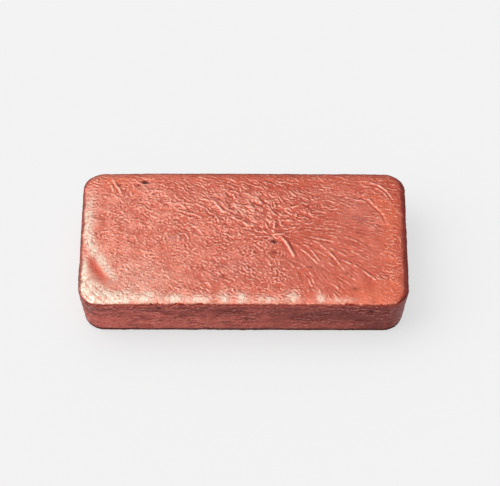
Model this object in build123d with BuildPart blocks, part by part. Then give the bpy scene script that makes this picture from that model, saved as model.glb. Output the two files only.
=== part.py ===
"""A poured copper bar: one solid casting, as it comes out of an open ingot mould.

The bar is widest just under its top edge, because the mould was open there. Its
four sides lean in towards the base by the mould's draft, its corners are
rounded in plan, and its open face is a shallow dome that rolls over into the
sides, where the metal drew away from the mould as it set.

Millimetres. +X runs along the bar, +Y across it and +Z up. The origin is the
centre of the flat base that the bar rests on.
"""

import os
from math import radians, tan

from build123d import *

# Driving dimensions.
length = 114.0  # along X, at the widest section
width = 60.0  # along Y, at the same section
height = 17.5  # from the base to the middle of the domed top
draft_angle = 6.5  # lean of the four sides, in degrees from vertical
top_corner_radius = 7.0  # corners in plan, at the widest section
base_corner_radius = 7.4  # corners in plan, at the base
crown_height = 0.4  # rise of the dome from its short ends to its middle
top_edge_radius = 2.8  # roll of the dome into the sides
base_edge_radius = 0.9  # edge round left by the floor of the mould


def edge_limit(wanted, *walls):
    """Returns the wanted edge radius, or the most that the smallest of its walls can carry."""
    return min(wanted, 0.9 * min(walls))


# Derived dimensions.
lean = tan(radians(draft_angle))
crown_radius = ((length / 2) ** 2 + crown_height**2) / (2 * crown_height)
side_drop = (width / 2) ** 2 / (2 * crown_radius)  # fall of the dome to its long sides
top_round = edge_limit(top_edge_radius, height / 2, top_corner_radius)
base_round = edge_limit(base_edge_radius, height / 2, base_corner_radius)

# Rounding the sharp top edge moves the widest section in by this much, on each side.
edge_trim = top_round / tan(radians(45 - draft_angle / 2)) - top_round

# The mould's mouth, where its walls would meet a flat top, and its floor.
mouth_length = length + 2 * (edge_trim + crown_height * lean)
mouth_width = width + 2 * (edge_trim + side_drop * lean)
floor_length = mouth_length - 2 * height * lean
floor_width = mouth_width - 2 * height * lean

with BuildPart() as copper_bar:
    # The mould's cavity: straight walls between its floor and its mouth.
    with BuildSketch(Plane.XY):
        RectangleRounded(floor_length, floor_width, base_corner_radius)
    with BuildSketch(Plane.XY.offset(height)):
        RectangleRounded(mouth_length, mouth_width, top_corner_radius + edge_trim)
    loft(ruled=True)

    # The metal fills it up to a shallow dome.
    with Locations((0, 0, height - crown_radius)):
        Sphere(crown_radius, mode=Mode.INTERSECT)

    base_face = copper_bar.faces().sort_by(Axis.Z)[0]
    fillet(base_face.edges(), base_round)

    dome_face = copper_bar.faces().sort_by(Axis.Z)[-1]
    fillet(dome_face.edges(), top_round)

copper_bar.part.label = "copper_bar"

os.makedirs("parts", exist_ok=True)
export_step(copper_bar.part, "parts/copper_bar.step")
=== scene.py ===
"""The looks of a poured copper bar: its cast skin in real relief, its copper, and a plain studio.

The bar was poured into an open mould. Its four sides and its base took the mould's wall, and its
top is the skin of metal that set in the open: wrinkled, creased and pitted. Blender's unit is the
metre. Sizes of the bar and its marks are named in millimetres and turned into metres by MM, and
their places are measured from the middle of the bar, with X to the right and Y to the back.
"""

import logging
from dataclasses import dataclass, field
from enum import Enum
from math import atan, cos, pi, radians, sin, tan

import bpy
import numpy as np
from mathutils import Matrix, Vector


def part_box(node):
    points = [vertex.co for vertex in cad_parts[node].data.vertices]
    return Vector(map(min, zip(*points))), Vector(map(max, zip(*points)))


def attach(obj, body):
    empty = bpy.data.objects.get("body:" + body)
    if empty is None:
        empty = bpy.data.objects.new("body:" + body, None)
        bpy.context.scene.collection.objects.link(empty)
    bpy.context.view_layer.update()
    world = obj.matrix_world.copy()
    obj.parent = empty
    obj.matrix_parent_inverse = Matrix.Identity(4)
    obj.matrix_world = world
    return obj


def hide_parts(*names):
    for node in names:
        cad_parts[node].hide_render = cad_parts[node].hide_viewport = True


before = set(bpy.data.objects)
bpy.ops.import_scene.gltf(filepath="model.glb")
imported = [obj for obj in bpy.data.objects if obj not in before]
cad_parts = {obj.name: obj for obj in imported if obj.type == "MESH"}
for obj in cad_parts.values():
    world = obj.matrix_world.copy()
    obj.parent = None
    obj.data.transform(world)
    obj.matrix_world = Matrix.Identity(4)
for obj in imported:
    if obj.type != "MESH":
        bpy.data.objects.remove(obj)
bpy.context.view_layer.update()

MM = 0.001
# How broad a bell curve is at half of its height, against its spread.
BREADTH_PER_SPREAD = 2.355
LOG = logging.getLogger("copper_bar")

Colour = tuple[float, float, float, float]
Socket = bpy.types.NodeSocket
Value = float | tuple[float, ...] | bpy.types.NodeSocket


def smooth_step(low: float, high: float, value: np.ndarray) -> np.ndarray:
    """Returns 0 where the value is under low, 1 where it is over high, and a smooth rise between."""
    share = np.clip((value - low) / (high - low), 0.0, 1.0)
    return share * share * (3.0 - 2.0 * share)


# --------------------------------------------------------------------------------------------
# Form
# --------------------------------------------------------------------------------------------


@dataclass(frozen=True)
class BarForm:
    """The smooth form of the bar, in millimetres, before the cast skin is worked into it."""

    length: float
    width: float
    height: float
    draft: float = radians(6.5)
    mouth_corner: float = 7.7
    floor_corner: float = 7.4
    crown: float = 0.4
    meniscus_width: float = 3.5
    meniscus_drop: float = 0.55
    meniscus_power: float = 2.2
    lip_radius: float = 0.55
    foot_radius: float = 0.9
    lip_rows: int = 5
    wall_rows: int = 30
    foot_rows: int = 4
    row_spread: float = 1.3

    @property
    def half(self) -> np.ndarray:
        """Half of the bar's length and width, at its widest section."""
        return np.array([self.length, self.width]) / 2

    @property
    def rows(self) -> int:
        """How many rows of faces run round the sides, from the lip to the base."""
        return self.lip_rows + self.wall_rows + self.foot_rows

    @property
    def lip_tilt(self) -> float:
        """How far the top leans out where it meets the lip.

        Returns:
            The angle, in radians.
        """
        inside = 1 - self.lip_radius / self.meniscus_width
        slope = self.meniscus_power * self.meniscus_drop / self.meniscus_width
        return atan(slope * inside ** (self.meniscus_power - 1))

    @property
    def lip_inset(self) -> float:
        """How far inside the widest section the top ends and the lip starts."""
        return self.lip_radius * (1 - sin(self.lip_tilt))

    def inset(self, plan: np.ndarray) -> np.ndarray:
        """Finds how far points lie inside the widest section.

        Args:
            plan: points in plan, one row each.

        Returns:
            The distance from each point to the outline, positive inside it.
        """
        over = np.abs(plan) - (self.half - self.mouth_corner)
        outside = np.hypot(*np.maximum(over, 0.0).T)
        return self.mouth_corner - outside - np.minimum(over.max(axis=1), 0.0)

    def top_height(self, plan: np.ndarray) -> np.ndarray:
        """Finds the height of the domed top, which rolls down towards its edge.

        Args:
            plan: points in plan, one row each.

        Returns:
            The height of the top over each point.
        """
        dome = self.crown * (plan**2).sum(axis=1) / self.half[0] ** 2
        near_edge = np.maximum(0.0, 1 - self.inset(plan) / self.meniscus_width)
        return self.height - dome - self.meniscus_drop * near_edge**self.meniscus_power

    def fall(self, points: np.ndarray) -> np.ndarray:
        """Finds how far points of the surface lie down the side from the top's edge.

        Args:
            points: the bar's points.

        Returns:
            The drop below the edge on the sides, and minus the way in from the edge on the top.
        """
        plan = points[:, :2]
        dome = self.crown * (plan**2).sum(axis=1) / self.half[0] ** 2
        at_edge = (1 - self.lip_inset / self.meniscus_width) ** self.meniscus_power
        edge_height = self.height - dome - self.meniscus_drop * at_edge
        drop = edge_height - points[:, 2]
        return np.where(drop > -0.02, drop, self.lip_inset - self.inset(plan))

    def bend_corners(
        self, square: np.ndarray, block_half: np.ndarray, new_half: np.ndarray, radius: np.ndarray
    ) -> np.ndarray:
        """Moves points of square-cornered rings onto rings with round corners.

        Args:
            square: points in plan on or inside the block's outline.
            block_half: half of the block's length and width.
            new_half: for each point, half of the length and width of its new outline.
            radius: for each point, the corner radius of its new outline.

        Returns:
            The moved points. Each square ring round a corner becomes an arc.
        """
        zone = self.mouth_corner
        straight = block_half - zone
        size = np.abs(square)
        over = np.maximum(size - straight, 0.0)
        longest = over.max(axis=1)
        turn = pi / 4 * over.min(axis=1) / np.maximum(longest, 1e-9)
        lead = longest * np.cos(turn)
        trail = longest * np.sin(turn)
        x_leads = over[:, 0] >= over[:, 1]
        arc = np.stack([np.where(x_leads, lead, trail), np.where(x_leads, trail, lead)], axis=1)
        share = np.minimum(size, straight) / straight
        moved = share * (new_half - radius[:, None]) + arc * (radius / zone)[:, None]
        return np.copysign(moved, square)

    def shape(self, block: np.ndarray) -> np.ndarray:
        """Shapes the points of a gridded block into the bar.

        Args:
            block: the block's points, in millimetres, standing on the base.

        Returns:
            The bar's points, in the same order.
        """
        plan = block[:, :2]
        block_half = plan.max(axis=0)
        row = np.rint((1 - block[:, 2] / block[:, 2].max()) * self.rows).astype(int)
        rim = self.bend_corners(
            plan,
            block_half,
            np.tile(self.half - self.lip_inset, (len(plan), 1)),
            np.full(len(plan), self.mouth_corner - self.lip_inset),
        )
        rim_height = self.top_height(rim)

        # The lip turns from the top's lean to the wall's, and the foot from there to flat.
        wall_tilt = pi / 2 + self.draft
        lip_share = np.clip(row / self.lip_rows, 0.0, 1.0)
        lip_turn = self.lip_tilt + (wall_tilt - self.lip_tilt) * lip_share
        foot_share = np.clip((row - self.lip_rows - self.wall_rows) / self.foot_rows, 0.0, 1.0)
        foot_turn = wall_tilt + (pi - wall_tilt) * foot_share
        lip_middle = rim_height - self.lip_radius * cos(self.lip_tilt)
        wall_top = lip_middle + self.lip_radius * cos(wall_tilt)
        wall_foot = self.foot_radius * (1 + cos(wall_tilt))
        down_wall = np.clip((row - self.lip_rows) / self.wall_rows, 0.0, 1.0) ** self.row_spread

        lip_in = self.lip_radius * (1 - np.sin(lip_turn))
        lean_in = (wall_top - wall_foot) * down_wall * tan(self.draft)
        foot_in = self.foot_radius * (sin(wall_tilt) - np.sin(foot_turn))
        height = np.select(
            [row <= self.lip_rows, row <= self.lip_rows + self.wall_rows],
            [
                lip_middle + self.lip_radius * np.cos(lip_turn),
                wall_top + (wall_foot - wall_top) * down_wall,
            ],
            self.foot_radius * (1 + np.cos(foot_turn)),
        )
        depth = 1 - height / self.height
        radius = self.mouth_corner + (self.floor_corner - self.mouth_corner) * depth - lip_in - foot_in
        new_half = self.half - (lip_in + lean_in + foot_in)[:, None]
        return np.column_stack([self.bend_corners(plan, block_half, new_half, radius), height])


# --------------------------------------------------------------------------------------------
# Relief
# --------------------------------------------------------------------------------------------


@dataclass(frozen=True)
class ReliefMap:
    """A sheet of heights that wraps round at its edges, in millimetres, with its middle at zero."""

    width: float
    depth: float
    step: float = 0.18

    @property
    def size(self) -> tuple[int, int]:
        """Rows and columns of the sheet."""
        return round(self.depth / self.step), round(self.width / self.step)

    def places(self) -> tuple[np.ndarray, np.ndarray]:
        """Finds where the cells lie.

        Returns:
            X and Y of every cell.
        """
        rows, columns = self.size
        x = ((np.arange(columns) + 0.5) / columns - 0.5) * self.width
        y = ((np.arange(rows) + 0.5) / rows - 0.5) * self.depth
        return np.meshgrid(x, y)

    def frequencies(self) -> tuple[np.ndarray, np.ndarray]:
        """Finds the waves that a sheet is made of.

        Returns:
            Waves per millimetre along X and Y, for every term of the sheet's transform.
        """
        rows, columns = self.size
        along = np.fft.rfftfreq(columns, self.width / columns)
        across = np.fft.fftfreq(rows, self.depth / rows)
        return np.meshgrid(along, across)

    def blur(self, sheet: np.ndarray, radius: float) -> np.ndarray:
        """Smooths a sheet.

        Args:
            sheet: the heights to smooth.
            radius: the size under which everything is smoothed away.

        Returns:
            The smoothed sheet.
        """
        along, across = self.frequencies()
        keep = np.exp(-2 * (pi * radius) ** 2 * (along**2 + across**2))
        return np.fft.irfft2(np.fft.rfft2(sheet) * keep, s=self.size)

    def noise(
        self, seed: int, along: float, across: float | None = None, octaves: float = 0.45
    ) -> np.ndarray:
        """Draws random waves of about one size.

        Args:
            seed: the number that the waves are drawn from.
            along: the length of the waves along X.
            across: their length along Y, which is the same if it isn't given.
            octaves: how far their lengths spread from that, in doublings.

        Returns:
            A sheet with a mean of 0 and a spread of 1.
        """
        white = np.random.default_rng(seed).standard_normal(self.size)
        waves_x, waves_y = self.frequencies()
        waves = np.hypot(waves_x * along, waves_y * (across or along))
        keep = np.exp(-((np.log2(np.maximum(waves, 1e-6)) / octaves) ** 2) / 2) / np.maximum(waves, 0.1)
        sheet = np.fft.irfft2(np.fft.rfft2(white) * keep, s=self.size)
        return sheet / sheet.std()

    def read(self, sheet: np.ndarray, x: np.ndarray, y: np.ndarray) -> np.ndarray:
        """Reads a sheet at any places, smoothly between its cells.

        Args:
            sheet: the heights to read.
            x: X of each place.
            y: Y of each place.

        Returns:
            The height at each place.
        """
        rows, columns = self.size
        across = (x / self.width + 0.5) * columns - 0.5
        down = (y / self.depth + 0.5) * rows - 0.5
        left = np.floor(across).astype(int)
        low = np.floor(down).astype(int)
        part_x = across - left
        part_y = down - low
        right = (left + 1) % columns
        high = (low + 1) % rows
        left %= columns
        low %= rows
        near = sheet[low, left] * (1 - part_x) + sheet[low, right] * part_x
        far = sheet[high, left] * (1 - part_x) + sheet[high, right] * part_x
        return near * (1 - part_y) + far * part_y

    def drag(self, sheet: np.ndarray, heading: np.ndarray, reach: np.ndarray) -> np.ndarray:
        """Smears the sheet along a heading at each place.

        Args:
            sheet: the heights to smear.
            heading: the direction at each cell, in radians from X.
            reach: how far each cell is smeared, each way.

        Returns:
            The smeared sheet.
        """
        x, y = self.places()
        samples = 4
        total = sheet.copy()
        for sample in range(1, samples + 1):
            move_x = np.cos(heading) * reach * sample / samples
            move_y = np.sin(heading) * reach * sample / samples
            total += self.read(sheet, x + move_x, y + move_y)
            total += self.read(sheet, x - move_x, y - move_y)
        return total / (2 * samples + 1)


class MarkKind(Enum):
    """Which way a mark stands from the skin around it."""

    RIDGE = 1.0
    CREASE = -1.0


@dataclass(frozen=True)
class Mark:
    """One line in the skin: a ridge or a crease that follows a few points, tapered at its ends."""

    kind: MarkKind
    size: float
    breadth: float
    points: tuple[tuple[float, float], ...]

    def share(self, x: np.ndarray, y: np.ndarray) -> np.ndarray:
        """Finds how much of the mark is felt at each place.

        Args:
            x: X of each place.
            y: Y of each place.

        Returns:
            The share, from 0 away from the mark to 1 on its line.
        """
        nearest = np.full(x.shape, np.inf)
        along = np.zeros(x.shape)
        count = len(self.points) - 1
        for index in range(count):
            start = np.array(self.points[index])
            run = np.array(self.points[index + 1]) - start
            share = ((x - start[0]) * run[0] + (y - start[1]) * run[1]) / (run @ run)
            share = np.clip(share, 0.0, 1.0)
            gap = np.hypot(x - start[0] - share * run[0], y - start[1] - share * run[1])
            along = np.where(gap < nearest, (index + share) / count, along)
            nearest = np.minimum(gap, nearest)
        taper = np.sqrt(np.clip(np.sin(pi * np.clip(along, 0.02, 0.98)), 0.0, 1.0))
        spread = self.breadth / BREADTH_PER_SPREAD
        return taper * np.exp(-((nearest / spread) ** 2) / 2)

    def height(self, x: np.ndarray, y: np.ndarray) -> np.ndarray:
        """Returns the height of the mark at each place, in millimetres."""
        return self.kind.value * self.size * self.share(x, y)


def ridge(size: float, breadth: float, *points: tuple[float, float]) -> Mark:
    """Makes a ridge of a height and a breadth that follows the points."""
    return Mark(MarkKind.RIDGE, size, breadth, points)


def crease(size: float, breadth: float, *points: tuple[float, float]) -> Mark:
    """Makes a crease of a depth and a breadth that follows the points."""
    return Mark(MarkKind.CREASE, size, breadth, points)


@dataclass(frozen=True)
class Pool:
    """A soft oval patch: a hollow, a swelling or a stain, by what it is used for."""

    x: float
    y: float
    long: float
    short: float
    turn: float = 0.0
    amount: float = 1.0

    def share(self, x: np.ndarray, y: np.ndarray) -> np.ndarray:
        """Finds how much of the patch is felt at each place.

        Args:
            x: X of each place.
            y: Y of each place.

        Returns:
            The share, from 0 far away to the patch's amount in its middle.
        """
        angle = radians(self.turn)
        along = (x - self.x) * cos(angle) + (y - self.y) * sin(angle)
        across = (y - self.y) * cos(angle) - (x - self.x) * sin(angle)
        return self.amount * np.exp(-((along / self.long) ** 2) - (across / self.short) ** 2)


@dataclass(frozen=True)
class OpenSkin:
    """The skin of the open top: wrinkles that follow the way the last metal was drawn."""

    form: BarForm
    fan: tuple[float, float] = (11.0, 1.0)
    seed: int = 41

    # By the middle, at the upper left, along the middle, at the corners, and in the fan.
    MARKS = (
        ridge(0.40, 1.00, (12.5, 0.0), (14.4, -2.0), (15.6, -4.5), (16.5, -6.7), (17.6, -9.4)),
        ridge(0.28, 0.75, (9.8, 0.7), (12.0, 1.1), (14.1, 1.1)),
        ridge(0.20, 0.65, (10.7, 7.6), (10.6, 4.5), (10.3, 1.4)),
        ridge(0.15, 0.65, (12.4, 7.4), (14.8, 7.5), (17.4, 7.2)),
        ridge(0.26, 0.75, (-46.6, 26.4), (-45.2, 23.3), (-44.0, 21.6), (-43.7, 19.8)),
        ridge(0.14, 0.70, (-48.6, 26.0), (-47.0, 23.4), (-46.2, 20.8)),
        ridge(0.26, 0.80, (-13.8, 17.2), (-10.6, 16.2), (-9.2, 14.0), (-7.6, 12.0), (-5.4, 10.5)),
        ridge(0.20, 0.80, (-10.6, 17.4), (-7.8, 15.6), (-6.2, 12.8), (-3.6, 10.6)),
        ridge(0.18, 0.80, (-4.8, 9.6), (-2.4, 7.8), (0.4, 6.0), (3.4, 4.6)),
        ridge(0.15, 0.90, (-2.0, 20.2), (1.4, 19.6), (4.4, 18.0), (6.6, 15.0), (8.6, 12.4)),
        ridge(0.14, 0.80, (12.0, 14.6), (15.0, 13.0), (18.0, 13.8), (21.0, 15.6)),
        ridge(0.12, 0.70, (-23.4, 1.0), (-21.8, 1.3), (-20.2, 0.9)),
        ridge(0.14, 0.70, (-22.6, 9.2), (-20.8, 9.4), (-19.2, 8.2), (-17.0, 8.6)),
        ridge(0.17, 0.50, (39.6, 26.2), (44.1, 25.6), (47.3, 24.5), (50.0, 22.1), (52.9, 17.0)),
        ridge(0.16, 0.55, (45.6, 23.8), (48.5, 21.8), (50.4, 19.6), (51.6, 17.0)),
        crease(0.14, 0.55, (43.6, 24.5), (47.6, 23.2), (50.2, 20.6), (52.2, 16.8)),
        crease(0.12, 0.70, (38.6, 19.4), (42.9, 17.0), (45.6, 13.9), (48.2, 10.6), (50.0, 5.4)),
        ridge(0.06, 0.80, (39.6, 20.4), (43.6, 17.9), (46.4, 14.8), (49.2, 11.0), (51.0, 6.0)),
        crease(0.10, 0.40, (-54.5, -20.6), (-52.4, -24.2), (-49.6, -27.6), (-47.2, -29.4)),
        crease(0.08, 0.40, (-53.4, -19.6), (-50.4, -23.3), (-47.6, -26.4), (-44.6, -28.6)),
        crease(0.08, 0.40, (-55.6, -23.4), (-54.0, -26.6), (-51.6, -28.8)),
        ridge(0.12, 0.55, (22.4, 0.7), (25.6, -0.9), (28.7, -1.5), (32.1, -2.0), (38.9, -5.3)),
        ridge(0.18, 0.65, (24.8, -2.2), (27.1, -4.0), (29.4, -6.5), (31.4, -9.2), (35.4, -15.8)),
        ridge(0.11, 0.60, (18.8, -2.6), (21.7, -4.0), (23.7, -6.5), (26.4, -11.0), (28.9, -15.0)),
        ridge(0.12, 0.55, (28.2, -4.2), (31.0, -5.5), (33.3, -7.0), (36.6, -9.2)),
        ridge(0.11, 0.55, (32.0, 1.1), (35.6, 0.0), (38.7, -1.5), (42.4, -3.6)),
        ridge(0.11, 0.55, (36.8, -5.9), (39.5, -7.5), (42.4, -9.7)),
        ridge(0.14, 0.60, (34.6, -10.8), (37.1, -12.0), (40.2, -14.0), (43.3, -17.1), (45.8, -19.8)),
        ridge(0.09, 0.60, (29.8, -20.3), (32.1, -22.6), (34.6, -24.9)),
        ridge(0.10, 0.70, (35.0, -16.4), (37.9, -18.6), (39.6, -20.4)),
        ridge(0.09, 0.70, (19.8, 2.5), (23.3, 3.6), (27.9, 4.1), (31.9, 3.6)),
    )
    PITS = (
        Pool(10.6, -2.1, 1.0, 1.0, 0, 0.26),
        Pool(10.7, -6.8, 1.2, 0.9, 0, 0.15),
        Pool(-35.1, 25.5, 1.0, 0.8, 0, 0.40),
        Pool(-33.9, 25.0, 0.9, 0.5, 0, 0.12),
        Pool(-37.5, 24.0, 0.8, 0.6, 0, 0.14),
        Pool(22.7, 14.4, 0.5, 0.5, 0, 0.14),
        Pool(23.3, -13.5, 1.0, 0.5, 0, 0.08),
        Pool(38.7, -23.1, 1.6, 0.9, 0, 0.09),
        Pool(-7.0, -17.6, 0.8, 0.5, 0, 0.12),
    )
    HOLLOWS = (
        Pool(-50.9, -15.0, 7.5, 1.9, -61, 0.24),
        Pool(38.0, 8.0, 14.0, 9.0, -35, 0.18),
        Pool(-5.0, -14.0, 16.0, 6.0, 5, 0.10),
    )
    # Where the wrinkles fade.
    CALM = (
        Pool(45, -25, 9, 4.5, 8, 0.60),
        Pool(-51.0, -15, 7.5, 2.2, -61, 0.65),
        Pool(-51, -25, 6, 4, -48, 0.45),
    )

    def heading(self, x: np.ndarray, y: np.ndarray) -> tuple[np.ndarray, np.ndarray]:
        """Finds which way the skin was drawn, and how far, at each place.

        Args:
            x: X of each place.
            y: Y of each place.

        Returns:
            The direction in radians from X, and the length of the draw in millimetres.
        """
        from_fan_x = x - self.fan[0]
        from_fan_y = y - self.fan[1]
        reach = np.hypot(from_fan_x, from_fan_y)
        bearing = np.arctan2(from_fan_y, from_fan_x)
        to_right = smooth_step(-75, -50, np.degrees(bearing)) - smooth_step(8, 40, np.degrees(bearing))
        spread = to_right * smooth_step(2.0, 6.0, reach) * (1 - smooth_step(36, 46, reach))
        gather = np.exp(-((reach / 16) ** 2))
        bent = bearing - radians(16) * smooth_step(4, 30, reach)
        inset = self.form.inset(np.column_stack([x.ravel(), y.ravel()])).reshape(x.shape)
        edge = 1 - smooth_step(2.0, 7.0, inset)
        half_x, half_y = self.form.half
        edge_way = np.arctan2(y / half_y**3, x / half_x**3) + pi / 2
        upper = smooth_step(-4, 10, y) * smooth_step(-34, -16, x)
        slant = radians(-34) + radians(18) * smooth_step(18, 34, x) * smooth_step(-2, 8, y)
        weights = (
            (0.8 + 0.4 * upper, slant),
            (2.0 * spread, bent),
            (0.5 * gather, bearing),
            (1.0 * edge, edge_way),
        )
        double_x = sum(weight * np.cos(2 * way) for weight, way in weights)
        double_y = sum(weight * np.sin(2 * way) for weight, way in weights)
        draw = 0.34 + 0.20 * upper + 0.8 * spread + 0.2 * edge
        return np.arctan2(double_y, double_x) / 2, draw

    def folds(self, sheet: ReliefMap, seed: int, long_waves: np.ndarray) -> np.ndarray:
        """Lays a crumpled skin: waves and broken ridges of several sizes, drawn along the heading.

        Args:
            sheet: the map that they are laid on.
            seed: the number that they are drawn from.
            long_waves: how strong the longest waves are, at each cell.

        Returns:
            Heights with a spread of about 1.
        """
        x, y = sheet.places()
        heading, draw = self.heading(x, y)
        heading = heading + 0.45 * sheet.noise(seed, 4.0) / (1 + draw)
        total = np.zeros(x.shape)
        sizes = ((0.95, 0.52, False), (1.5, 0.40, False), (2.6, 0.42, True), (4.6, 0.50, True))
        for index, (length, weight, broken) in enumerate(sizes):
            waves = sheet.drag(sheet.noise(seed + 1 + index, length), heading, draw * length)
            waves /= waves.std()
            if broken:
                waves = 1.5 * (0.8 - np.abs(waves))
            total += weight * waves
        swell = sheet.drag(sheet.noise(seed + 8, 3.4), heading, 2.2 * draw)
        total += long_waves * swell / swell.std()
        return 1.2 * np.tanh(0.8 * total)

    def fan_creases(self, x: np.ndarray, y: np.ndarray) -> np.ndarray:
        """Lays long creases that spread from one point, each a fold with a groove under it.

        Args:
            x: X of each place.
            y: Y of each place.

        Returns:
            Their height at each place, in millimetres.
        """
        draws = np.random.default_rng(self.seed)
        total = np.zeros(x.shape)
        for bearing in np.linspace(-62, 16, 24):
            start = draws.uniform(4, 20)
            end = start + draws.uniform(7, 18)
            angle = bearing + draws.uniform(-4, 4)
            line = []
            for reach in np.linspace(start, end, 6):
                way = radians(angle - 0.5 * (reach - 12)) + radians(draws.uniform(-1.6, 1.6))
                line.append((self.fan[0] + reach * cos(way), self.fan[1] + reach * sin(way)))
            size = draws.uniform(0.02, 0.06)
            total += ridge(size, draws.uniform(0.5, 0.9), *line).height(x, y)
            beside = ((px - 0.25, py - 0.65) for px, py in line)
            total += crease(0.7 * size, 0.6, *beside).height(x, y)
        return total

    def strength(self, x: np.ndarray, y: np.ndarray) -> np.ndarray:
        """Finds how high the wrinkles stand at each place.

        Args:
            x: X of each place.
            y: Y of each place.

        Returns:
            Their height, in millimetres.
        """
        inset = self.form.inset(np.column_stack([x.ravel(), y.ravel()])).reshape(x.shape)
        inside = 0.60 + 0.40 * smooth_step(0.5, 4.0, inset)
        upper = Pool(2, 12, 26, 12, -10, 0.045).share(x, y)
        right = Pool(38, 10, 16, 14, 0, 0.004).share(x, y)
        fan = Pool(30, -7, 14, 11, -25, 0.020).share(x, y)
        lower = Pool(-34, -14, 22, 14, 0, 0.011).share(x, y)
        calm = sum(area.share(x, y) for area in self.CALM)
        return inside * (1 - calm) * (0.056 + upper + right - fan - lower)

    def heights(self, sheet: ReliefMap) -> np.ndarray:
        """Works out the whole relief of the top.

        Args:
            sheet: the map that it is laid on.

        Returns:
            The height of every cell, in millimetres.
        """
        x, y = sheet.places()
        patches = 1 + 0.18 * sheet.noise(self.seed + 1, 9.0)
        long_waves = Pool(4, 12, 24, 11, -12, 0.70).share(x, y) + 0.12
        relief = self.strength(x, y) * patches * self.folds(sheet, self.seed + 20, long_waves)
        relief += 0.025 * sheet.noise(self.seed + 5, 6.0)
        relief += self.fan_creases(x, y)
        ragged = np.clip(0.85 + 0.35 * sheet.noise(self.seed + 9, 2.6), 0.40, 1.3)
        for mark in self.MARKS:
            whole = mark.kind is MarkKind.CREASE or mark.size > 0.25
            share = mark.share(x, y) * (1 if whole else ragged)
            relief = relief * (1 - 0.75 * share) + mark.kind.value * mark.size * share
        for hollow in self.HOLLOWS + self.PITS:
            relief -= hollow.share(x, y)
        return relief


@dataclass(frozen=True)
class WallSkin:
    """The skin of the sides, cast against the mould: level laps, pits and a ragged lip."""

    form: BarForm
    seed: int = 77
    lap_size: float = 0.07
    ripple_size: float = 0.055
    grain_size: float = 0.040
    pit_size: float = 0.22
    lip_elsewhere: float = 0.25

    # Places are X along the front and the height above the base.
    MARKS = (
        ridge(0.20, 0.6, (-10.5, 6.3), (-8.0, 7.0), (-5.0, 7.0), (-2.5, 6.3)),
        crease(0.16, 0.5, (-9.6, 5.4), (-7.2, 5.9), (-4.9, 6.0), (-3.2, 5.5)),
        ridge(0.08, 0.5, (-36.0, 11.6), (-32.5, 12.0), (-29.5, 11.7)),
        crease(0.07, 0.4, (-37.0, 11.0), (-33.0, 11.2), (-30.0, 11.0)),
        crease(0.14, 0.5, (26.0, 7.6), (30.0, 6.6), (34.0, 5.6), (40.0, 5.8)),
        ridge(0.12, 0.5, (36.0, 4.6), (41.0, 5.0), (45.0, 4.4)),
    )
    PITS = (
        Pool(-29.0, 14.2, 0.8, 0.5, 0, 0.40),
        Pool(44.0, 12.6, 0.9, 0.6, 0, 0.35),
        Pool(40.0, 6.8, 1.2, 0.4, 0, 0.25),
    )

    def heights(self, sheet: ReliefMap) -> np.ndarray:
        """Works out the relief of the sides.

        Args:
            sheet: a map with the way round the bar along X and the height along Y.

        Returns:
            The height of every cell, in millimetres.
        """
        way, height = sheet.places()
        front_x = way + sheet.width / 2 - self.form.length / 2
        laps = np.tanh(1.3 * sheet.noise(self.seed, 14.0, 2.0))
        ripples = sheet.noise(self.seed + 1, 4.2, 1.4)
        grain = sheet.noise(self.seed + 2, 1.7, 1.15)
        spots = sheet.noise(self.seed + 3, 3.0, 1.2)
        pits = smooth_step(2.6, 3.6, spots)
        patches = 0.6 + 0.4 * np.tanh(sheet.noise(self.seed + 6, 18.0, 7.0))
        relief = patches * (self.lap_size * laps + self.ripple_size * ripples + self.grain_size * grain)
        relief += 0.03 * sheet.noise(self.seed + 4, 14.0, 9.0) - self.pit_size * pits
        for mark in self.MARKS:
            relief += mark.height(front_x, height)
        for pit in self.PITS:
            relief -= pit.share(front_x, height)
        return relief

    def wander(self, sheet: ReliefMap, way: np.ndarray, seed: int, length: float) -> np.ndarray:
        """Returns waves of a length that run round the bar, read at each point's way round."""
        return sheet.read(sheet.noise(self.seed + seed, length, 60.0), way, np.zeros(way.shape))

    def lip(
        self, sheet: ReliefMap, way: np.ndarray, fall: np.ndarray
    ) -> tuple[np.ndarray, np.ndarray]:
        """Works out the ragged lip where the open top broke over the mould's wall.

        Args:
            sheet: a map with the way round along X.
            way: how far round each point is, as on the sheet.
            fall: how far each point is under the top's edge.

        Returns:
            The lip's height at each point, and how torn it is there: 1 on its bright beads of metal,
            -1 in the grooves under them.
        """
        on_front = np.abs(way + sheet.width / 2 - self.form.length / 2) < self.form.half[0]
        force = np.where(on_front, 1.0, self.lip_elsewhere)
        ragged = 0.5 + 0.5 * np.tanh(1.2 * self.wander(sheet, way, 20, 6.0))
        torn = 0.5 + 0.5 * np.tanh(1.5 * self.wander(sheet, way, 21, 2.4))
        drift = 0.20 * self.wander(sheet, way, 22, 8.0) + 0.12 * self.wander(sheet, way, 23, 2.2)

        def band(middle: float, breadth: float, sway: float) -> np.ndarray:
            """Returns a soft band round the bar, at a drop under the edge that sways with the drift."""
            return np.exp(-(((fall - middle - sway * drift) / breadth) ** 2))

        bead = band(0.05, 0.30, 1.0) * (0.30 + 0.70 * ragged * torn)
        groove = band(0.55, 0.27, 1.0) * (0.60 + 0.40 * torn)
        second = band(1.00, 0.25, 1.3) * torn * (1 - 0.7 * ragged)
        under = band(1.50, 0.32, 1.3) * (0.35 + 0.65 * torn) * (1 - 0.7 * ragged)
        height = force * (0.16 * bead - 0.20 * groove + 0.22 * second - 0.12 * under)
        return height, force * np.clip(0.9 * bead - 1.5 * groove + 1.5 * second - 0.9 * under, -1, 1)


# --------------------------------------------------------------------------------------------
# Copper
# --------------------------------------------------------------------------------------------


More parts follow.
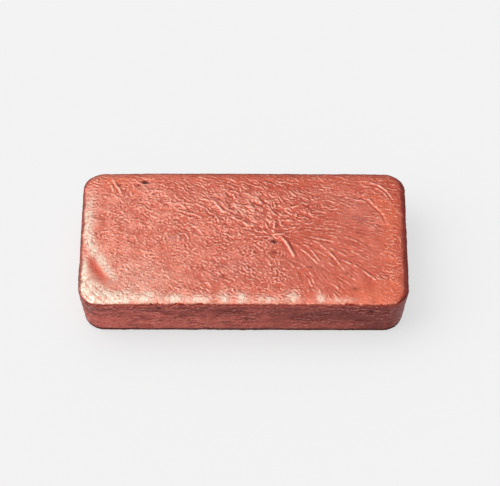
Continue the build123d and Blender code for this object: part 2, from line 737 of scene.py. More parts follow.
class Nodes:
    """A small helper that adds the nodes of a material or a world and joins them."""

    def __init__(self, owner: bpy.types.Material | bpy.types.World) -> None:
        """Empties the node tree of its owner.

        Args:
            owner: the material or world that the nodes are for.
        """
        owner.use_nodes = True
        self.tree = owner.node_tree
        self.tree.nodes.clear()

    def add(self, kind: str, **settings: object) -> bpy.types.Node:
        """Adds a node.

        Args:
            kind: the name of its type.
            settings: its own settings, by name.

        Returns:
            The node.
        """
        node = self.tree.nodes.new(kind)
        for name, value in settings.items():
            setattr(node, name, value)
        return node

    def join(self, source: Socket, target: Socket) -> None:
        """Joins one socket to another."""
        self.tree.links.new(source, target)

    def feed(self, socket: Socket, value: Value) -> None:
        """Gives a socket a value, or joins it to another socket.

        Args:
            socket: the socket of a node.
            value: what it takes, or the socket that it is joined to.
        """
        if isinstance(value, bpy.types.NodeSocket):
            self.join(value, socket)
        else:
            socket.default_value = value

    def noise(self, place: Socket, size: float, detail: float = 2.0, rough: float = 0.5) -> Socket:
        """Adds noise.

        Args:
            place: where each point lies in the noise.
            size: how large its cells are, in millimetres.
            detail: how many finer layers it has.
            rough: how strong the finer layers are.

        Returns:
            The noise, from 0 to 1.
        """
        node = self.add("ShaderNodeTexNoise")
        self.join(place, node.inputs["Vector"])
        node.inputs["Scale"].default_value = 1 / (size * MM)
        node.inputs["Detail"].default_value = detail
        node.inputs["Roughness"].default_value = rough
        return node.outputs["Fac"]

    def spread(
        self, value: Socket, low: float, high: float, start: float = 0.0, end: float = 1.0
    ) -> Socket:
        """Maps one range of a value smoothly onto another, and holds it at both ends.

        Args:
            value: the value to map.
            low: the value that gives the start.
            high: the value that gives the end.
            start: the result at the low value.
            end: the result at the high value.

        Returns:
            The result.
        """
        node = self.add("ShaderNodeMapRange", interpolation_type="SMOOTHSTEP")
        self.join(value, node.inputs["Value"])
        for name, number in zip(("From Min", "From Max", "To Min", "To Max"), (low, high, start, end)):
            node.inputs[name].default_value = number
        return node.outputs["Result"]

    def math(self, operation: str, first: Value, second: Value) -> Socket:
        """Combines two values.

        Args:
            operation: the name of the sum.
            first: the first value.
            second: the second value.

        Returns:
            The result.
        """
        node = self.add("ShaderNodeMath", operation=operation)
        self.feed(node.inputs[0], first)
        self.feed(node.inputs[1], second)
        return node.outputs[0]

    def mix(self, share: Value, first: Value, second: Value) -> Socket:
        """Mixes two numbers.

        Args:
            share: how much of the second is in the mix, from 0 to 1.
            first: the first number.
            second: the second number.

        Returns:
            The mixed number.
        """
        node = self.add("ShaderNodeMix", data_type="FLOAT")
        self.feed(node.inputs["Factor"], share)
        self.feed(node.inputs[2], first)
        self.feed(node.inputs[3], second)
        return node.outputs[0]

    def paint(self, ground: Value, *layers: tuple[Value, Value]) -> Socket:
        """Lays colours over a ground, one after the other.

        Args:
            ground: the colour beneath.
            layers: for each one, how much of it shows, from 0 to 1, and its colour.

        Returns:
            The colour that they make.
        """
        colour = ground
        for share, tint in layers:
            node = self.add("ShaderNodeMix", data_type="RGBA")
            self.feed(node.inputs["Factor"], share)
            self.feed(node.inputs[6], colour)
            self.feed(node.inputs[7], tint)
            colour = node.outputs[2]
        return colour

    def stretch(self, place: Socket, scale: tuple[float, float, float]) -> Socket:
        """Scales a place along its three axes.

        Args:
            place: the place of each point.
            scale: the three scales.

        Returns:
            The new place.
        """
        node = self.add("ShaderNodeMapping")
        node.inputs["Scale"].default_value = scale
        self.join(place, node.inputs["Vector"])
        return node.outputs["Vector"]

    def parts(self, vector: Socket) -> bpy.types.NodeOutputs:
        """Splits a vector.

        Args:
            vector: the vector.

        Returns:
            Its parts, by the names X, Y and Z.
        """
        node = self.add("ShaderNodeSeparateXYZ")
        self.join(vector, node.inputs[0])
        return node.outputs

    def number(self, name: str) -> Socket:
        """Reads a number that the mesh keeps for each point, by its name."""
        return self.add("ShaderNodeAttribute", attribute_name=name).outputs["Fac"]

    def vector(self, name: str) -> Socket:
        """Reads a vector that the mesh keeps for each point, by its name."""
        return self.add("ShaderNodeAttribute", attribute_name=name).outputs["Vector"]


@dataclass(frozen=True)
class PouredCopper:
    """Cast copper as it comes from the mould: bright skin on top, the sides darker, in part their oxide
    and in part painted shade.
    """

    name: str = "poured_copper"
    salmon: Colour = (0.74, 0.260, 0.190, 1.0)
    red: Colour = (0.58, 0.150, 0.102, 1.0)
    # Deep red: painted shade towards the right and on the back and right rims, and darker red patches.
    deep_red: Colour = (0.50, 0.085, 0.052, 1.0)
    orange: Colour = (0.72, 0.168, 0.088, 1.0)
    mauve: Colour = (0.46, 0.165, 0.145, 1.0)
    # Ivory: painted highlights.
    highlight_ivory: Colour = (0.80, 0.67, 0.54, 1.0)
    # Painted highlights on the crests of the wrinkles and grain.
    highlight_cream: Colour = (0.90, 0.52, 0.40, 1.0)
    # Painted shade in the creases of the wrinkles and grain.
    crease: Colour = (0.34, 0.056, 0.038, 1.0)
    # Painted shade: fills the pits, by their depth, and the foot of the sides as a contact shadow.
    painted_shade: Colour = (0.080, 0.026, 0.024, 1.0)
    # The sides are darker than the top: in part oxide, in part painted shade.
    wall_red: Colour = (0.58, 0.137, 0.104, 1.0)
    # Painted glints on the sides' grain and raised laps.
    wall_glint: Colour = (0.84, 0.330, 0.262, 1.0)
    wall_brown: Colour = (0.26, 0.055, 0.046, 1.0)
    # Painted shade on the sides: to the right, in the grain's hollows and in the laps' creases.
    wall_dark: Colour = (0.15, 0.030, 0.027, 1.0)
    # Maroon: oxide over the top's edge, and painted shade, widest on the right.
    maroon: Colour = (0.24, 0.040, 0.032, 1.0)
    # Painted highlights on the lip's beads and painted shade in the grooves under them.
    lip_highlight: Colour = (0.94, 0.36, 0.25, 1.0)
    lip_groove_shade: Colour = (0.44, 0.042, 0.028, 1.0)
    gloss: tuple[float, float] = (0.30, 0.44)
    side_dulling: float = 0.10
    grain_depth: float = 0.17 * MM

    def material(self) -> bpy.types.Material:
        """Builds the material.

        Returns:
            The material, which reads what CastBar.work_skin keeps on the mesh.
        """
        material = bpy.data.materials.new(self.name)
        nodes = Nodes(material)
        place = nodes.add("ShaderNodeTexCoord").outputs["Object"]
        crest = nodes.number("crest")
        wall = nodes.number("wall")
        lap = nodes.vector("lap")
        lip = nodes.number("lip")
        skin_grain = self.skin_grain(nodes)
        side_grain = self.side_grain(nodes, lap)
        # foot: the share of painted contact shadow along the base of the sides.
        foot = self.painted_foot_shadow(nodes, lap)
        colour = nodes.paint(
            self.skin_colour(nodes, place, crest, skin_grain),
            (wall, self.side_colour(nodes, lap, crest, side_grain, foot)),
            # The dark band along the top's edge: oxide, and painted shade widest on the right.
            (nodes.math("MULTIPLY", nodes.number("rim"), 0.80), self.maroon),
            # Painted highlights on the lip's beads, painted shade in its grooves.
            (nodes.spread(lip, 0.10, 0.70, 0.0, 0.80), self.lip_highlight),
            (nodes.spread(lip, -0.10, -0.70, 0.0, 0.92), self.lip_groove_shade),
            # Painted shade in the pits.
            (nodes.number("painted_shade"), self.painted_shade),
        )
        skin_gloss = nodes.spread(nodes.noise(place, 2.5, 3.0), 0.3, 0.7, *self.gloss)
        rough = nodes.math("ADD", skin_gloss, nodes.math("MULTIPLY", wall, self.side_dulling))

        shader = nodes.add("ShaderNodeBsdfPrincipled")
        # The painted contact shadow is dull as well as dark: it takes the metal away.
        nodes.join(nodes.math("SUBTRACT", 1.0, foot), shader.inputs["Metallic"])
        shader.inputs["Specular IOR Level"].default_value = 0.0
        nodes.join(colour, shader.inputs["Base Color"])
        nodes.join(rough, shader.inputs["Roughness"])
        bump = nodes.add("ShaderNodeBump")
        bump.inputs["Strength"].default_value = 1.0
        bump.inputs["Distance"].default_value = self.grain_depth
        nodes.join(nodes.mix(wall, skin_grain, side_grain), bump.inputs["Height"])
        nodes.join(bump.outputs["Normal"], shader.inputs["Normal"])
        output = nodes.add("ShaderNodeOutputMaterial")
        nodes.join(shader.outputs[0], output.inputs["Surface"])
        return material

    def skin_grain(self, nodes: Nodes) -> Socket:
        """Lays out the finest wrinkles of the top, drawn along its flow and out along the fan.

        Args:
            nodes: the material's nodes.

        Returns:
            Their height, from 0 to 1.
        """
        plain = nodes.noise(nodes.vector("flow"), 0.55, 3.0, 0.68)
        plain.node.inputs["Distortion"].default_value = 0.8
        rays = nodes.noise(nodes.vector("rays"), 0.55, 3.0, 0.68)
        grain = nodes.mix(nodes.number("fan"), plain, rays)
        return nodes.mix(nodes.number("calm"), grain, 0.5)

    def side_grain(self, nodes: Nodes, lap: Socket) -> Socket:
        """Lays out the finest grain of the sides, drawn out level.

        Args:
            nodes: the material's nodes.
            lap: where each point lies on the sides, laid out flat.

        Returns:
            Its height, from 0 to 1.
        """
        streaks = nodes.noise(nodes.stretch(lap, (0.38, 1.0, 1.0)), 1.00, 4.0, 0.65)
        specks = nodes.noise(nodes.stretch(lap, (0.60, 1.0, 1.0)), 0.50, 2.0, 0.60)
        return nodes.mix(0.5, streaks, specks)

    def skin_colour(self, nodes: Nodes, place: Socket, crest: Socket, grain: Socket) -> Socket:
        """Colours the open top.

        Args:
            nodes: the material's nodes.
            place: where each point lies on the bar.
            crest: how far it stands out of the skin round it, from -1 to 1.
            grain: the height of the finest wrinkles there.

        Returns:
            The colour.
        """
        patches = nodes.spread(nodes.noise(place, 6.0, 5.0, 0.65), 0.38, 0.62)
        hue = nodes.noise(place, 4.0, 4.0, 0.65)
        speckle = nodes.noise(place, 2.0, 4.0, 0.7)
        strokes = nodes.noise(nodes.stretch(place, (1.0, 0.40, 1.0)), 0.8, 3.0, 0.7)
        tint = nodes.parts(nodes.vector("tint"))
        dull = nodes.math("MULTIPLY", tint["X"], nodes.spread(speckle, 0.65, 0.4))
        warm = nodes.math("MULTIPLY", tint["Y"], nodes.spread(speckle, 0.25, 0.5))
        # pale: painted highlights, laid in ivory in streaks.
        pale = nodes.math("MULTIPLY", tint["Z"], nodes.spread(strokes, 0.42, 0.55, 0.35, 1.0))
        return nodes.paint(
            self.salmon,
            (patches, self.red),
            (nodes.spread(hue, 0.54, 0.72, 0.0, 0.45), self.mauve),
            (nodes.spread(hue, 0.46, 0.28, 0.0, 0.45), self.orange),
            (dull, self.mauve),
            (warm, self.orange),
            # Painted highlights.
            (pale, self.highlight_ivory),
            # Painted shade towards the right and on the rims, with darker red patches.
            (nodes.math("MULTIPLY", nodes.number("red_patches_and_shade"), 0.9), self.deep_red),
            # Painted highlights on the crests of the fine grain and the wrinkles, and painted shade in
            # their creases.
            (nodes.spread(grain, 0.55, 0.75, 0.0, 0.55), self.highlight_cream),
            (nodes.spread(grain, 0.46, 0.28, 0.0, 0.65), self.crease),
            (nodes.spread(crest, 0.15, 0.9, 0.0, 0.70), self.highlight_cream),
            (nodes.spread(crest, -0.10, -0.9, 0.0, 0.80), self.crease),
            # A last touch of painted highlight.
            (nodes.math("MULTIPLY", pale, 0.14), self.highlight_ivory),
        )

    def side_colour(self, nodes: Nodes, lap: Socket, crest: Socket, grain: Socket, foot: Socket) -> Socket:
        """Colours the sides: oxide in level streaks, darker near the lip, and painted shade that darkens
        them to the right, away from the light.

        Args:
            nodes: the material's nodes.
            lap: where each point lies on the sides, laid out flat.
            crest: how far it stands out of the skin round it, from -1 to 1.
            grain: the height of the finest grain there.
            foot: how much painted contact shadow lies there.

        Returns:
            The colour.
        """
        high_up = nodes.spread(nodes.parts(lap)["Y"], 4.0 * MM, 14.0 * MM, -0.06, 0.08)
        streaks = nodes.noise(nodes.stretch(lap, (0.36, 1.0, 1.0)), 3.0, 5.0, 0.62)
        stain = nodes.math("ADD", streaks, high_up)
        # The sides' painted shade, darker to the right, with dark stains where the sooty pools lie.
        shade = nodes.number("shade")
        less_in_shade = nodes.spread(shade, 0.0, 1.0, 1.0, 0.25)
        # rose: painted glints on the grain, fewer where the sides are in painted shade.
        rose = nodes.math("MULTIPLY", nodes.spread(grain, 0.51, 0.66, 0.0, 0.62), less_in_shade)
        return nodes.paint(
            self.wall_red,
            (nodes.spread(stain, 0.42, 0.66), self.wall_brown),
            # Painted shade towards the right, and the stains.
            (nodes.math("MULTIPLY", shade, 0.80), self.wall_brown),
            (nodes.spread(shade, 0.70, 1.0, 0.0, 0.50), self.wall_dark),
            (rose, self.wall_glint),
            # Painted shade in the grain's hollows, painted glints on the raised laps and painted shade in
            # their creases.
            (nodes.spread(grain, 0.47, 0.34, 0.0, 0.70), self.wall_dark),
            (nodes.spread(crest, 0.30, 1.00, 0.0, 0.40), self.wall_glint),
            (nodes.spread(crest, -0.30, -1.00, 0.0, 0.70), self.wall_dark),
            # Painted contact shadow along the foot.
            (foot, self.painted_shade),
        )

    def painted_foot_shadow(self, nodes: Nodes, lap: Socket) -> Socket:
        """Finds how much painted contact shadow lies along the foot of the sides: a dark, dull band where
        the bar meets the floor.

        Args:
            nodes: the material's nodes.
            lap: where each point lies on the sides, and in Z how far it faces up.

        Returns:
            The share of painted contact shadow, from 0 to 1.
        """
        place = nodes.parts(lap)
        low_down = nodes.spread(place["Y"], 2.3 * MM, 1.1 * MM, 0.0, 0.92)
        upright = nodes.spread(place["Z"], -0.97 * MM, -0.7 * MM)
        return nodes.math("MULTIPLY", low_down, upright)


# --------------------------------------------------------------------------------------------
# The bar
# --------------------------------------------------------------------------------------------


def deselect_all() -> None:
    """Leaves object mode ready, with nothing selected."""
    bpy.ops.object.select_all(action="DESELECT")


@dataclass
class CastBar:
    """The bar itself: one closed mesh that stands for the CAD bar."""

    form: BarForm
    finish: PouredCopper
    cells: tuple[tuple[int, int], tuple[int, int]] = ((4, 80), (2, 78))
    base_share: float = 0.16
    base_waves: float = 0.02
    base_grain: float = 0.012
    margin: float = 4.0
    flat_height: float = 4.0
    swells: tuple[tuple[float, float], ...] = ((30.0, 0.25), (10.0, 0.20))
    crest_breadth: float = 0.45
    crest_unit: float = 0.05
    shade_per_depth: float = 3.4
    most_shade: float = 0.9
    name: str = "poured_copper_bar"
    # Where the top is orange and mauve, where painted highlights in ivory and painted shade in deep red
    # lie on it, and where the sides are darkest.
    WARM: tuple[Pool, ...] = (
        Pool(52.0, -2, 4.0, 24, 0, 0.85),
        Pool(45, -25.5, 13, 5, 10, 0.70),
        Pool(48.5, 15, 9, 2.6, -55, 0.8),
        Pool(34, 0, 16, 40, 0, 0.25),
        Pool(-38.5, 20.3, 1.6, 1.8, 0, 0.8),
        Pool(-46, 25, 7, 3, 0, 0.6),
        Pool(0, 27.5, 60, 2.5, 0, 0.6),
    )
    DULL: tuple[Pool, ...] = (
        Pool(40, 10.5, 10, 5, -42, 1.0),
        Pool(28, 17, 12, 4, 0, 0.5),
        Pool(2, -15, 16, 6, 0, 0.7),
        Pool(23, -12, 8, 3, -20, 0.6),
        Pool(-23.5, -0.6, 2.6, 1.6, 0, 0.9),
        Pool(-17, 21, 8, 3, 0, 0.4),
        Pool(8, 12, 4, 2, 0, 0.5),
    )
    # Painted highlights: pale bands along the left rim and the front edge, and round the front left
    # corner, where the light from the upper left catches the rolled edge.
    PAINTED_HIGHLIGHTS: tuple[Pool | Mark, ...] = (
        ridge(1.0, 3.2, (-54.4, 21), (-54.5, 12), (-54.5, 4), (-53.9, -2), (-52.2, -7), (-49, -12)),
        ridge(1.0, 2.6, (-53.0, -5), (-50.4, -10), (-47.2, -15), (-44.6, -19)),
        ridge(1.0, 2.4, (-55.4, -8), (-55.2, -14), (-54.6, -20)),
        Pool(-52.2, -24.5, 6.8, 3.6, -48, 1.4),
        Pool(-47.0, -27.2, 8, 2.6, 0, 1.2),
        Pool(-40.5, -26.8, 2.4, 2.4, 0, 1.0),
        Pool(-33.0, -27.0, 3.0, 2.4, 0, 1.0),
        Pool(-24.0, -27.6, 3.6, 2.0, 0, 0.9),
        Pool(-15.0, -27.8, 4.5, 1.8, 0, 0.8),
        Pool(-6.6, -27.2, 1.9, 2.6, 10, 1.0),
        Pool(-0.6, -27.2, 1.9, 2.6, 10, 1.0),
        Pool(8.0, -27.9, 4.5, 1.6, 0, 0.8),
        Pool(17.0, -26.8, 2.3, 2.8, 15, 0.9),
        Pool(26.4, -27.2, 1.4, 2.4, 10, 0.9),
        Pool(33.0, -28.2, 5.0, 1.3, 0, 0.5),
        Pool(-2, -28.8, 44, 1.4, 0, 0.16),
        Pool(-40, -18, 14, 9, -20, 0.25),
        Pool(-1, 12, 3.5, 1.6, -40, 0.35),
        Pool(3.5, 18, 3.0, 1.4, -30, 0.3),
    )
    LENS: Mark = ridge(
        1.0, 3.0, (-54.2, -7.8), (-52.6, -11.2), (-50.8, -14.8), (-48.8, -18.2), (-46.8, -21)
    )
    # Darker red patches, and painted shade on the back and right rims.
    RED_PATCHES_AND_SHADE: tuple[Pool, ...] = (
        Pool(-33.0, -4.8, 1.3, 1.2, 0, 0.8),
        Pool(-43.6, -23.4, 3.0, 1.2, 0, 0.6),
        Pool(16, -3, 10, 7, 0, 0.25),
        Pool(10, 24, 14, 3, 0, 0.45),
        Pool(24, 12, 10, 5, 0, 0.35),
        Pool(-20, 24, 16, 4, 0, 0.35),
        Pool(52, 23, 6, 6, 0, 0.5),
        Pool(55, 0, 3, 30, 0, 0.5),
        Pool(0, 28, 60, 3, 0, 0.35),
    )
    SOOTY: tuple[Pool, ...] = (
        Pool(-6, 12.5, 9, 3.0, 0, 0.7),
        Pool(22, 9, 8, 3.0, 0, 0.6),
        Pool(40, 11, 12, 3.0, 0, 0.8),
        Pool(-28, 13.5, 7, 1.8, 0, 0.5),
        Pool(48, 9, 8, 8.0, 0, 0.5),
    )
    body: bpy.types.Object = field(init=False, default=None)

    def build(self) -> bpy.types.Object:
        """Builds the whole piece.

        Returns:
            The piece, one closed mesh.
        """
        self.cut_block()
        points = self.points() / MM
        round_way = self.way_round(points)
        self.set_points(self.form.shape(points) * MM)
        self.lay_out()
        self.heave()
        self.work_skin(round_way)
        self.thin_base()
        self.dress()
        return self.body

    def points(self) -> np.ndarray:
        """Reads the mesh's points.

        Returns:
            One row for each point, in metres.
        """
        flat = np.empty(len(self.body.data.vertices) * 3)
        self.body.data.vertices.foreach_get("co", flat)
        return flat.reshape(-1, 3)

    def set_points(self, points: np.ndarray) -> None:
        """Moves the mesh's points."""
        self.body.data.vertices.foreach_set("co", points.ravel())
        self.body.data.update()

    def normals(self) -> np.ndarray:
        """Reads the way that the surface faces at each point.

        Returns:
            One row for each point, of length 1.
        """
        flat = np.empty(len(self.body.data.vertices) * 3)
        self.body.data.vertex_normals.foreach_get("vector", flat)
        return flat.reshape(-1, 3)

    def cut_block(self) -> None:
        """Adds a block of the bar's size and cuts it into a fine grid."""
        form = self.form
        deselect_all()
        bpy.ops.mesh.primitive_cube_add(
            size=1,
            location=(0, 0, form.height / 2 * MM),
            scale=(form.length * MM, form.width * MM, form.height * MM),
        )
        self.body = bpy.context.object
        self.body.name = self.name
        self.body.data.name = self.name
        bpy.ops.object.transform_apply(location=True, rotation=True, scale=True)
        for axis, counts in enumerate((*self.cells, (form.rows,))):
            for count in counts:
                self.cut_along(axis, count)

    def cut_along(self, axis: int, count: int) -> None:
        """Cuts every edge that runs along an axis into equal parts.

        Args:
            axis: 0 for X, 1 for Y and 2 for Z.
            count: how many parts each edge is cut into.
        """
        mesh = self.body.data
        ends = np.empty(len(mesh.edges) * 2, dtype=int)
        mesh.edges.foreach_get("vertices", ends)
        runs = np.abs(np.diff(self.points()[ends.reshape(-1, 2)], axis=1)[:, 0])
        chosen = runs.argmax(axis=1) == axis
        bpy.ops.object.mode_set(mode="EDIT")
        bpy.ops.mesh.select_mode(type="EDGE")
        bpy.ops.mesh.select_all(action="DESELECT")
        bpy.ops.object.mode_set(mode="OBJECT")
        mesh.edges.foreach_set("select", chosen)
        bpy.ops.object.mode_set(mode="EDIT")
        bpy.ops.mesh.subdivide(number_cuts=count - 1, quadcorner="STRAIGHT_CUT")
        bpy.ops.object.mode_set(mode="OBJECT")

    def way_round(self, block: np.ndarray) -> np.ndarray:
        """Finds how far round the block's outline each point is.

        Args:
            block: the block's points, in millimetres.

        Returns:
            The way round from its front left corner, in millimetres.
        """
        x, y = block[:, 0], block[:, 1]
        half_x, half_y = self.form.half
        on_front = np.isclose(y, -half_y)
        on_right = np.isclose(x, half_x)
        on_back = np.isclose(y, half_y)
        return np.select(
            [on_front, on_right, on_back],
            [half_x + x, 2 * half_x + half_y + y, 3 * half_x + 2 * half_y - x],
            4 * half_x + 3 * half_y - y,
        )

    def lay_out(self) -> None:
        """Unwraps the smooth form, so that the finish can be laid out flat."""
        bpy.ops.object.mode_set(mode="EDIT")
        bpy.ops.mesh.select_all(action="SELECT")
        bpy.ops.uv.smart_project(angle_limit=radians(66), island_margin=0.004)
        bpy.ops.object.mode_set(mode="OBJECT")
        self.body.data.uv_layers[0].name = "OFBake"

    def heave(self) -> None:
        """Lets the sides and top wander a little, as nothing cast by hand is true.

        The base stays flat: the share of each move that a point keeps grows with its height.
        """
        free = np.round(smooth_step(0.0, self.flat_height, self.points()[:, 2] / MM), 2)[:, None]
        for index, (size, strength) in enumerate(self.swells):
            before = self.points()
            clouds = bpy.data.textures.new(f"heave_{index}", "CLOUDS")
            clouds.noise_scale = size * MM
            modifier = self.body.modifiers.new(clouds.name, "DISPLACE")
            modifier.texture = clouds
            modifier.strength = strength * MM
            modifier.mid_level = 0.5
            bpy.ops.object.modifier_apply(modifier=modifier.name)
            self.set_points(before + (self.points() - before) * free)

    def work_skin(self, round_way: np.ndarray) -> None:
        """Works the cast skin into the surface, and keeps on the mesh what the finish needs.

        Args:
            round_way: how far round the bar each point is, in millimetres.
        """
        form = self.form
        points = self.points() / MM
        normals = self.normals()
        x, y, z = points.T
        upward = smooth_step(0.10, 0.75, normals[:, 2])
        downward = smooth_step(0.4, 0.9, -normals[:, 2])
        sideways = (1 - upward) * (1 - downward)

        top = ReliefMap(form.length + self.margin, form.width + self.margin)
        skin = OpenSkin(form)
        top_relief = skin.heights(top)
        perimeter = 2 * (form.length + form.width)
        wall = ReliefMap(perimeter, 2.4 * form.height)
        sides = WallSkin(form)
        wall_relief = sides.heights(wall)
        base_relief = self.base_waves * top.noise(5, 6.0) + self.base_grain * top.noise(6, 1.8)

        way = round_way - perimeter / 2
        lip_height, lip = sides.lip(wall, way, form.fall(points))
        height = upward * top.read(top_relief, x, y) + lip_height
        height += sideways * wall.read(wall_relief, way, z)
        height -= downward * np.abs(top.read(base_relief, x, y))
        self.set_points((points + normals * height[:, None]) * MM)

        top_crest = self.crests(top, top_relief)
        wall_crest = self.crests(wall, wall_relief)
        crest = upward * top.read(top_crest, x, y) + sideways * wall.read(wall_crest, way, z)
        self.record("crest", np.clip(crest, -1, 1))
        self.record("wall", 1 - upward)
        rim = self.oxide_and_shade_rim(top, x, y)
        self.record("rim", rim * smooth_step(-0.05, 0.30, normals[:, 2]))
        on_base = downward > 0.5
        laps = [np.where(on_base, 3 * x, way), np.where(on_base, y - form.width, z), normals[:, 2]]
        self.record("lap", np.column_stack(laps) * MM)
        self.record("lip", lip)
        self.record_flow(skin, x, y)
        self.record_tints(skin, x, y, upward)
        on_front = sideways * (y < 0)
        self.record_stains(skin, sides, points, upward, on_front)

    def crests(self, sheet: ReliefMap, relief: np.ndarray) -> np.ndarray:
        """Returns how far a relief stands out of what is round it, in units of a plain wrinkle."""
        return (relief - sheet.blur(relief, self.crest_breadth)) / self.crest_unit

    def record_tints(self, skin: OpenSkin, x: np.ndarray, y: np.ndarray, upward: np.ndarray) -> None:
        """Keeps where the top is mauve and orange, where it has painted highlights in ivory, where it is
        smooth, and where it has painted shade and darker red patches in deep red.

        Args:
            skin: the skin of the top.
            x: X of each point.
            y: Y of each point.
            upward: how much each point is part of the top.
        """
        dull, warm, pale = (
            np.clip(sum(area.share(x, y) for area in group), 0, 1) * upward
            for group in (self.DULL, self.WARM, self.PAINTED_HIGHLIGHTS)
        )
        lens = self.LENS.share(x, y)
        pale = pale * (1 - 0.8 * lens)
        self.record("tint", np.column_stack([dull, warm, pale]))
        calm = 0.6 * pale * smooth_step(-42, -50, x) + 0.6 * lens
        self.record("calm", np.clip(calm + 0.5 * skin.CALM[0].share(x, y), 0, 1))
        # Painted shade: the top darkens to deep red from left to right, away from the light, and in the
        # pools listed above.
        red_patches_and_shade = sum(area.share(x, y) for area in self.RED_PATCHES_AND_SHADE) + 0.70 * smooth_step(-48, 26, x)
        red_patches_and_shade = red_patches_and_shade * (1 - 0.7 * pale) * (1 - 0.6 * warm) * (1 - 0.5 * dull) + 0.95 * lens
        self.record("red_patches_and_shade", np.clip(red_patches_and_shade, 0, 1) * upward)

    def record_stains(
        self, skin: OpenSkin, sides: WallSkin, points: np.ndarray, upward: np.ndarray, on_front: np.ndarray
    ) -> None:
        """Keeps the painted shade in the pits, darker the deeper they are, and where the sides are dark:
        painted shade towards the right, and stains.

        Args:
            skin: the skin of the top.
            sides: the skin of the sides.
            points: the bar's points, in millimetres.
            upward: how much each point is part of the top.
            on_front: how much each point is part of the front.
        """
        x, y, z = points.T
        # Painted shade in the pits, darker the deeper they are.
        painted_shade = sum(pit.share(x, y) for pit in skin.PITS) * upward
        painted_shade += sum(pit.share(x, z) for pit in sides.PITS) * on_front
        self.record("painted_shade", np.clip(self.shade_per_depth * painted_shade, 0, self.most_shade))
        # Painted shade: the sides darken from left to right, away from the light; on the front the sooty
        # pools add dark stains.
        shade = 0.80 * smooth_step(-60, 62, x) + on_front * sum(area.share(x, z) for area in self.SOOTY)
        self.record("shade", np.clip(shade, 0, 1))

    def record_flow(self, skin: OpenSkin, x: np.ndarray, y: np.ndarray) -> None:
        """Keeps two ways to lay out the finest wrinkles: along the flow, and out along the fan.

        Args:
            skin: the skin of the top.
            x: X of each point.
            y: Y of each point.
        """
        slant = radians(-30)
        along = x * cos(slant) + y * sin(slant)
        across = y * cos(slant) - x * sin(slant)
        self.record("flow", np.column_stack([0.5 * along, across, 0 * x]) * MM)
        out_x = x - skin.fan[0]
        out_y = y - skin.fan[1]
        reach = np.hypot(out_x, out_y)
        bearing = np.arctan2(out_y, out_x)
        self.record("rays", np.column_stack([0.35 * reach, 18 * bearing, 0 * x]) * MM)
        in_fan = smooth_step(-75, -50, np.degrees(bearing)) - smooth_step(8, 40, np.degrees(bearing))
        near = smooth_step(7, 11, reach) * (1 - smooth_step(32, 40, reach))
        self.record("fan", in_fan * near)

    def oxide_and_shade_rim(self, sheet: ReliefMap, x: np.ndarray, y: np.ndarray) -> np.ndarray:
        """Finds the dark band along the edge of the top: the sides' oxide creeping over it, and painted
        shade, widest on the right, away from the light.

        Args:
            sheet: the map of the top.
            x: X of each point.
            y: Y of each point.

        Returns:
            How much oxide there is, from 0 to 1.
        """
        to_right = smooth_step(0.90, 0.99, x / self.form.half[0])
        to_left = smooth_step(0.90, 0.99, -x / self.form.half[0])
        to_back = smooth_step(0.80, 0.97, y / self.form.half[1])
        ragged = sheet.read(sheet.noise(91, 9.0), x, y) + 0.4 * sheet.read(sheet.noise(92, 2.4), x, y)
        reach = 1.9 * to_right + 1.0 * to_left + 0.8 * to_back
        reach = reach * (1 + 0.14 * ragged)
        inset = self.form.inset(np.column_stack([x, y]))
        return (1 - smooth_step(0.75, 1.15, inset / np.maximum(reach, 0.1))) * smooth_step(0.1, 0.4, reach)

    def record(self, name: str, values: np.ndarray) -> None:
        """Keeps a number or a vector for each point on the mesh, for the finish to read.

        Args:
            name: the name that the finish asks for.
            values: one number, or one row of three, for each point.
        """
        kind, slot = ("FLOAT", "value") if values.ndim == 1 else ("FLOAT_VECTOR", "vector")
        layer = self.body.data.attributes.new(name, kind, "POINT")
        layer.data.foreach_set(slot, np.ascontiguousarray(values, dtype=np.float32).ravel())

    def thin_base(self) -> None:
        """Takes faces out of the base, which is nearly flat."""
        mesh = self.body.data
        centres = np.empty(len(mesh.polygons) * 3)
        mesh.polygons.foreach_get("center", centres)
        facing = np.empty(len(mesh.polygons) * 3)
        mesh.polygons.foreach_get("normal", facing)
        chosen = (centres[2::3] < 0.3 * MM) & (facing[2::3] < -0.95)
        bpy.ops.object.mode_set(mode="EDIT")
        bpy.ops.mesh.select_mode(type="FACE")
        bpy.ops.mesh.select_all(action="DESELECT")
        bpy.ops.object.mode_set(mode="OBJECT")
        mesh.polygons.foreach_set("select", chosen)
        bpy.ops.object.mode_set(mode="EDIT")
        bpy.ops.mesh.decimate(ratio=self.base_share)
        bpy.ops.object.mode_set(mode="OBJECT")

    def dress(self) -> None:
        """Gives the piece its finish and its place in the frame."""
        self.body.data.materials.clear()
        self.body.data.materials.append(self.finish.material())
        deselect_all()
        self.body.select_set(True)
        bpy.ops.object.shade_smooth()
        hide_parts("copper_bar")
        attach(self.body, "root")


# --------------------------------------------------------------------------------------------
# Studio
# --------------------------------------------------------------------------------------------


@dataclass(frozen=True)
class SoftLight:
    """A soft glow in the studio's surroundings, seen in one direction from the bar."""

    direction: tuple[float, float, float]
    spread: float
    strength: float


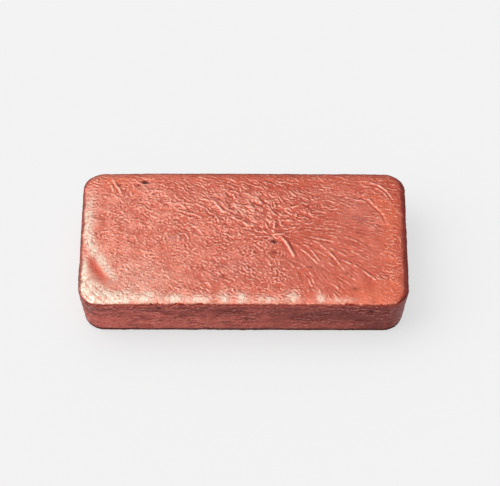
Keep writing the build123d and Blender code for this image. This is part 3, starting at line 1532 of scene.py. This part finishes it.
@dataclass
class Studio:
    """A plain pale floor, soft light from the upper left, and the camera."""

    form: BarForm
    floor_tone: float = 0.25
    floor_glow: float = 0.62
    surround: float = 0.50
    backdrop: float = 0.887
    elevation: float = 50.0
    azimuth: float = 0.4
    distance: float = 1.026
    lens: float = 210.2
    aim: tuple[float, float] = (2.18, 3.35)
    LIGHTS: tuple[SoftLight, ...] = (
        SoftLight((-0.70, -0.05, 0.72), 42, 2.4),
        SoftLight((-0.05, 0.15, 0.98), 50, 0.9),
        SoftLight((0.0, 0.85, 0.55), 55, 0.35),
    )

    def build(self) -> None:
        """Builds the floor, the light and the camera."""
        self.lay_floor()
        self.light_surroundings()
        self.place_camera()

    def lay_floor(self) -> None:
        """Adds the floor that the bar stands on: a pale sheet lit softly from beneath."""
        deselect_all()
        bpy.ops.mesh.primitive_plane_add(size=8, location=(0, 0, -0.02 * MM))
        floor = bpy.context.object
        floor.name = "floor"
        material = bpy.data.materials.new("pale_floor")
        nodes = Nodes(material)
        shader = nodes.add("ShaderNodeBsdfPrincipled")
        shader.inputs["Base Color"].default_value = (self.floor_tone, self.floor_tone, self.floor_tone, 1)
        shader.inputs["Roughness"].default_value = 1.0
        shader.inputs["Specular IOR Level"].default_value = 0.0
        shader.inputs["Emission Color"].default_value = (1, 1, 1, 1)
        shader.inputs["Emission Strength"].default_value = self.floor_glow
        output = nodes.add("ShaderNodeOutputMaterial")
        nodes.join(shader.outputs[0], output.inputs["Surface"])
        floor.data.materials.append(material)

    def light_surroundings(self) -> None:
        """Lights the scene from the surroundings: a dim room with soft glows."""
        scene = bpy.context.scene
        scene.view_settings.view_transform = "Standard"
        world = bpy.data.worlds.new("studio")
        scene.world = world
        nodes = Nodes(world)
        way = nodes.add("ShaderNodeTexCoord").outputs["Generated"]
        level = nodes.spread(nodes.parts(way)["X"], 0.9, -0.6, 0.10, self.surround)
        for light in self.LIGHTS:
            dot = nodes.add("ShaderNodeVectorMath", operation="DOT_PRODUCT")
            nodes.join(way, dot.inputs[0])
            dot.inputs[1].default_value = Vector(light.direction).normalized()
            glow = nodes.spread(dot.outputs["Value"], cos(radians(light.spread)), 1.0, 0.0, light.strength)
            level = nodes.math("ADD", level, glow)
        lit, plain = nodes.add("ShaderNodeBackground"), nodes.add("ShaderNodeBackground")
        for source, strength in ((lit, level), (plain, self.backdrop)):
            source.inputs["Color"].default_value = (1, 1, 1, 1)
            nodes.feed(source.inputs["Strength"], strength)
        seen = nodes.add("ShaderNodeLightPath").outputs["Is Camera Ray"]
        mix = nodes.add("ShaderNodeMixShader")
        nodes.join(seen, mix.inputs[0])
        nodes.join(lit.outputs[0], mix.inputs[1])
        nodes.join(plain.outputs[0], mix.inputs[2])
        output = nodes.add("ShaderNodeOutputWorld")
        nodes.join(mix.outputs[0], output.inputs["Surface"])

    def place_camera(self) -> None:
        """Puts the camera in front of the bar, looking down on it."""
        tilt = radians(self.elevation)
        turn = radians(self.azimuth)
        back = Vector((sin(turn) * cos(tilt), -cos(turn) * cos(tilt), sin(tilt)))
        right = Vector((cos(turn), sin(turn), 0))
        up = back.cross(right)
        centre = Vector((0, 0, self.form.height / 2 * MM))
        target = centre + (right * self.aim[0] + up * self.aim[1]) * MM
        deselect_all()
        bpy.ops.object.camera_add(location=centre + back * self.distance)
        camera = bpy.context.object
        camera.name = "camera"
        camera.rotation_euler = (target - camera.location).to_track_quat("-Z", "Y").to_euler()
        camera.data.lens = self.lens
        camera.data.clip_start = 0.05
        camera.data.clip_end = 50
        bpy.context.scene.camera = camera


# --------------------------------------------------------------------------------------------
# The whole scene
# --------------------------------------------------------------------------------------------


def main() -> None:
    """Builds the bar and the studio."""
    logging.basicConfig(level=logging.INFO, format="%(name)s: %(message)s")
    low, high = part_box("copper_bar")
    length, width, height = (high - low) / MM
    form = BarForm(length, width, height)
    bar = CastBar(form, PouredCopper()).build()
    LOG.info("%s: %d faces", bar.name, len(bar.data.polygons))
    Studio(form).build()
    LOG.info("studio ready")


if __name__ == "__main__":
    main()
